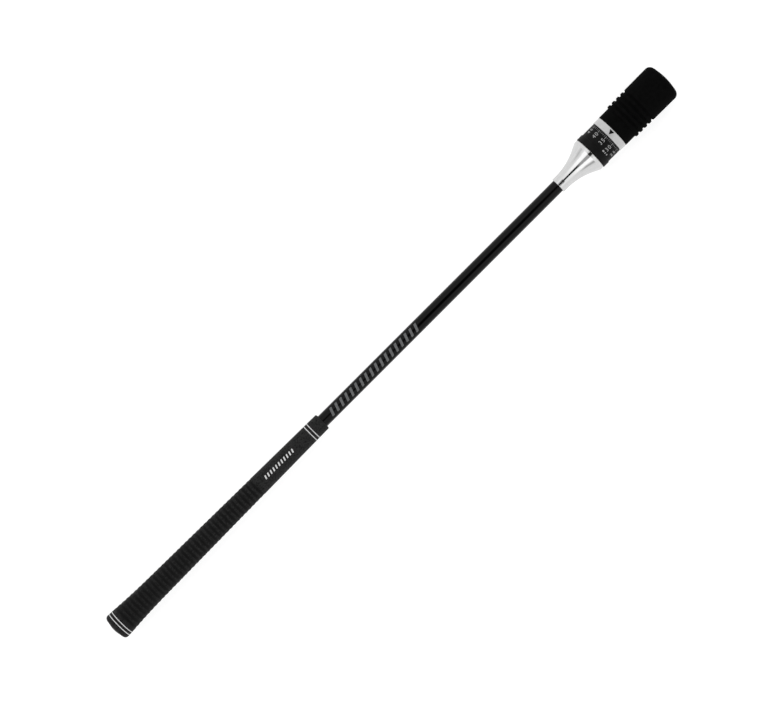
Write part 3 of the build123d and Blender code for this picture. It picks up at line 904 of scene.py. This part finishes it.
# ---- Return spring ----
def spring_mesh():
    """A round wire wound from the weight's pocket to the anvil's."""
    mean_r = SPRING_OUTER_R - SPRING_WIRE_R
    start = SPRING_START + SPRING_WIRE_R
    length = SPRING_END - SPRING_START - 2 * SPRING_WIRE_R
    steps = SPRING_STEPS
    sides = SPRING_SIDES
    verts = []
    faces = []
    for i in range(steps + 1):
        share = i / steps
        angle = 2 * math.pi * SPRING_TURNS * share
        spoke = Vector((0, math.sin(angle), math.cos(angle)))
        centre = Vector((start + length * share, 0, 0)) + spoke * mean_r
        climb = length / (2 * math.pi * SPRING_TURNS)
        run = Vector((climb, math.cos(angle) * mean_r, -math.sin(angle) * mean_r))
        side = run.normalized().cross(spoke)
        for k in range(sides):
            around = 2 * math.pi * k / sides
            out = spoke * math.cos(around) + side * math.sin(around)
            verts.append((centre + out * SPRING_WIRE_R) * MM)
    for i in range(steps):
        for k in range(sides):
            n = (k + 1) % sides
            faces.append([i * sides + k, i * sides + n, (i + 1) * sides + n, (i + 1) * sides + k])
    faces.append(list(range(sides)))
    faces.append([steps * sides + k for k in range(sides)])
    mesh = bpy.data.meshes.new("coil_spring")
    mesh.from_pydata(verts, [], faces)
    outward(mesh)
    return mesh


spring = piece("coil_spring", spring_mesh(), "stick", "spring_steel", ("return_spring",))
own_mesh(spring)


# ---- Floor, light and camera ----
# Metres, and degrees for a BAND of the sky: where it starts, where it ends and how soft its ends are.
# A REACH is the same along x. An EDGE is where a change along x lies and how soft it is, and SIDES are
# the same along y. A LEVEL is a brightness, and a GAIN is added to the tent's.
FLOOR_Z = -19.0 * MM
FLOOR_RADIUS = 14.0
FLOOR_SIDES = 96
FLOOR_GLOW = 0.8
KEY_WATTS = 6.0
KEY_SIZE = 1.8
KEY_PLACE = (0.1, 1.1, 2.0)
KEY_AIM = (0.4, 0, 0)
TENT_LEVEL = 1.12
STRIP_MIDDLE = -3.0
STRIP_BAND = (13.0, 47.0, 8.5)
STRIP_EDGE = (-0.35, 0.3)
STRIP_GAIN = 0.17
STRIP_GRIP_GAIN = 0.58
CORNER_MIDDLE = 4.0
CORNER_BAND = (59.0, 76.0, 8.0)
CORNER_EDGE = (-0.5, 0.15)
CORNER_SIDES = (0.0, 0.2)
CORNER_LEVELS = (0.56, 0.78)
SLOT_BAND = (-14.0, 8.0, 1.5)
SLOT_EDGE = (-0.6, 0.13)
SLOT_LEVELS = (0.56, 0.03)
FLARE_BAND = (-19.0, 0.0, 2.0)
FLARE_EDGE = (-0.6, 0.08)
FLARE_LEVEL = 0.52
WIDE_BAND = (-29.0, 19.0, 3.0)
WIDE_REACH = (0.004, 0.067, 0.004)
WIDE_LEVEL = 0.03
CAMERA_TARGET = (0.3544, -0.00043, 0)
CAMERA_DISTANCE = 3.2
CAMERA_ORBIT = math.radians(1.2)
CAMERA_ROLL = math.radians(-45.004)
CAMERA_LENS = 162.3


def floor_material():
    s = Shader("pale_floor")
    cloud = s.noise(s.place, 3, 3)
    colour = s.blend(cloud, grey(0.29), grey(0.31))
    s.finish(colour, s.spread(cloud, 0.3, 0.7, 0.85, 0.95), Specular_IOR_Level=0.1)
    s.principled.inputs["Emission Color"].default_value = (1, 1, 1, 1)
    s.principled.inputs["Emission Strength"].default_value = FLOOR_GLOW
    return s.material


def floor():
    """A wide round floor that the head rests on."""
    mesh = bpy.data.meshes.new("studio_floor")
    rim = []
    for k in range(FLOOR_SIDES):
        angle = 2 * math.pi * k / FLOOR_SIDES
        rim.append((FLOOR_RADIUS * math.cos(angle), FLOOR_RADIUS * math.sin(angle), FLOOR_Z))
    mesh.from_pydata(rim, [], [list(range(FLOOR_SIDES))])
    mesh.materials.append(floor_material())
    obj = bpy.data.objects.new("studio_floor", mesh)
    bpy.context.scene.collection.objects.link(obj)


def key_light():
    """A large weak light high on the left. It shapes dull surfaces and doesn't show in polished ones."""
    light = bpy.data.lights.new("key_light", "AREA")
    light.shape = "RECTANGLE"
    light.size = KEY_SIZE
    light.size_y = KEY_SIZE
    light.energy = KEY_WATTS
    obj = bpy.data.objects.new("key_light", light)
    place = Vector(KEY_PLACE)
    obj.location = place
    obj.rotation_euler = (place - Vector(KEY_AIM)).to_track_quat("Z", "Y").to_euler()
    obj.visible_camera = False
    obj.visible_glossy = False
    bpy.context.scene.collection.objects.link(obj)


class Sky:
    """The room round the object, a white light tent. Its methods give the sockets to build it from."""

    def __init__(self):
        self.world = bpy.data.worlds.new("studio_world")
        self.world.use_nodes = True
        self.tree = self.world.node_tree
        place = self.tree.nodes.new("ShaderNodeTexCoord")
        parts = self.tree.nodes.new("ShaderNodeSeparateXYZ")
        self.tree.links.new(place.outputs["Generated"], parts.inputs[0])
        self.x, self.y, self.z = parts.outputs

    def math(self, operation, *values):
        node = self.tree.nodes.new("ShaderNodeMath")
        node.operation = operation
        for i, value in enumerate(values):
            if isinstance(value, bpy.types.NodeSocket):
                self.tree.links.new(value, node.inputs[i])
            else:
                node.inputs[i].default_value = value
        return node.outputs[0]

    def step(self, value, middle, soft, low=0.0, high=1.0):
        """Goes smoothly from low to high round the middle value."""
        node = self.tree.nodes.new("ShaderNodeMapRange")
        node.interpolation_type = "SMOOTHSTEP"
        self.tree.links.new(value, node.inputs["Value"])
        node.inputs["From Min"].default_value = middle - soft
        node.inputs["From Max"].default_value = middle + soft
        node.inputs["To Min"].default_value = low
        node.inputs["To Max"].default_value = high
        return node.outputs["Result"]

    def between(self, value, low, high, soft):
        """1 from low to high and 0 outside."""
        rise = self.step(value, low, soft)
        return self.math("MULTIPLY", rise, self.step(value, high, soft, 1.0, 0.0))

    def both(self, first, second):
        """The product of two masks, or of a mask and a gain."""
        return self.math("MULTIPLY", first, second)

    def mix(self, share, first, second):
        """first where share is 0 and second where it is 1."""
        change = self.math("MULTIPLY", share, self.math("SUBTRACT", second, first))
        return self.math("ADD", first, change)


def studio_world():
    """White all round, with two soft strips that are brightest beyond the grip, and duller corners there.
    A dark slot runs overhead. It is wider over the bare shaft and paler, with a flare, beyond the grip.
    Lean is the angle from straight up towards either side, and x is negative towards the grip."""
    sky = Sky()
    lean = sky.math("DEGREES", sky.math("ARCTAN2", sky.y, sky.z))
    aside = sky.math("ABSOLUTE", sky.math("SUBTRACT", lean, STRIP_MIDDLE))
    beyond = sky.step(sky.x, *STRIP_EDGE, 1.0, 0.0)
    strips = sky.both(sky.between(aside, *STRIP_BAND), sky.mix(beyond, STRIP_GAIN, STRIP_GRIP_GAIN))
    level = sky.math("ADD", strips, TENT_LEVEL)
    aside = sky.math("ABSOLUTE", sky.math("SUBTRACT", lean, CORNER_MIDDLE))
    corner = sky.both(sky.between(aside, *CORNER_BAND), sky.step(sky.x, *CORNER_EDGE, 1.0, 0.0))
    level = sky.mix(corner, level, sky.step(sky.y, *CORNER_SIDES, *CORNER_LEVELS))
    slot = sky.between(lean, *SLOT_BAND)
    level = sky.mix(slot, level, sky.step(sky.x, *SLOT_EDGE, *SLOT_LEVELS))
    flare = sky.both(sky.between(lean, *FLARE_BAND), sky.step(sky.x, *FLARE_EDGE, 1.0, 0.0))
    level = sky.mix(flare, level, FLARE_LEVEL)
    wide = sky.both(sky.between(lean, *WIDE_BAND), sky.between(sky.x, *WIDE_REACH))
    level = sky.mix(wide, level, WIDE_LEVEL)
    background = sky.tree.nodes["Background"]
    background.inputs["Color"].default_value = (1, 1, 1, 1)
    sky.tree.links.new(level, background.inputs["Strength"])
    bpy.context.scene.world = sky.world


def camera():
    """Nearly straight above, with the stick running from the lower left to the upper right."""
    back = Vector((0, -math.sin(CAMERA_ORBIT), math.cos(CAMERA_ORBIT)))
    across = Vector((1, 0, 0))
    up_flat = back.cross(across)
    right = across * math.cos(CAMERA_ROLL) + up_flat * math.sin(CAMERA_ROLL)
    up = up_flat * math.cos(CAMERA_ROLL) - across * math.sin(CAMERA_ROLL)
    turn = Matrix((right, up, back)).transposed().to_4x4()
    data = bpy.data.cameras.new("photo_camera")
    data.sensor_width = 36
    data.lens = CAMERA_LENS
    data.clip_end = 60
    obj = bpy.data.objects.new("photo_camera", data)
    obj.matrix_world = Matrix.Translation(Vector(CAMERA_TARGET) + back * CAMERA_DISTANCE) @ turn
    bpy.context.scene.collection.objects.link(obj)
    bpy.context.scene.camera = obj


floor()
key_light()
studio_world()
camera()
bpy.context.scene.view_settings.view_transform = "Standard"
